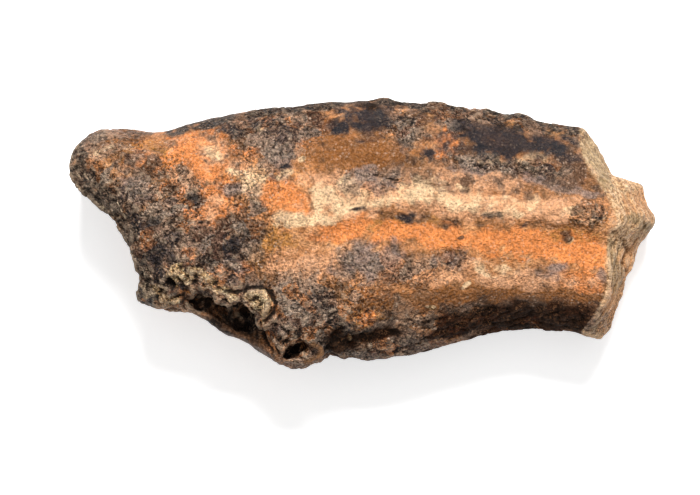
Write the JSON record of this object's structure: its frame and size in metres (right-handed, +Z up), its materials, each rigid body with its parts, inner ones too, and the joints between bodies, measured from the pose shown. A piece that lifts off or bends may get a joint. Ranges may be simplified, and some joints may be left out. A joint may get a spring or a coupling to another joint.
{
  "type": "dinosaur fossil claw",
  "caption": "Worn, mineral-stained claw bone with a scooped joint end, a long side groove, a broken knuckle and a tip snapped off at a rough break, lying on its side.",
  "frame": {"origin": "centre of the bounding box at the level of the flat worn underside", "axes": "+X from the joint end to the break, +Y from the belly of the claw to its back, +Z up from the side it lies on"},
  "size_m": [0.0586, 0.027, 0.0145],
  "materials": {
    "fossil_bone": "worn mineralised bone, iron-orange and brown with black, cream and purple-grey stains, satin"
  },
  "bodies": {
    "root": {"fossil_claw": "fossil_bone"}
  },
  "joints": []
}
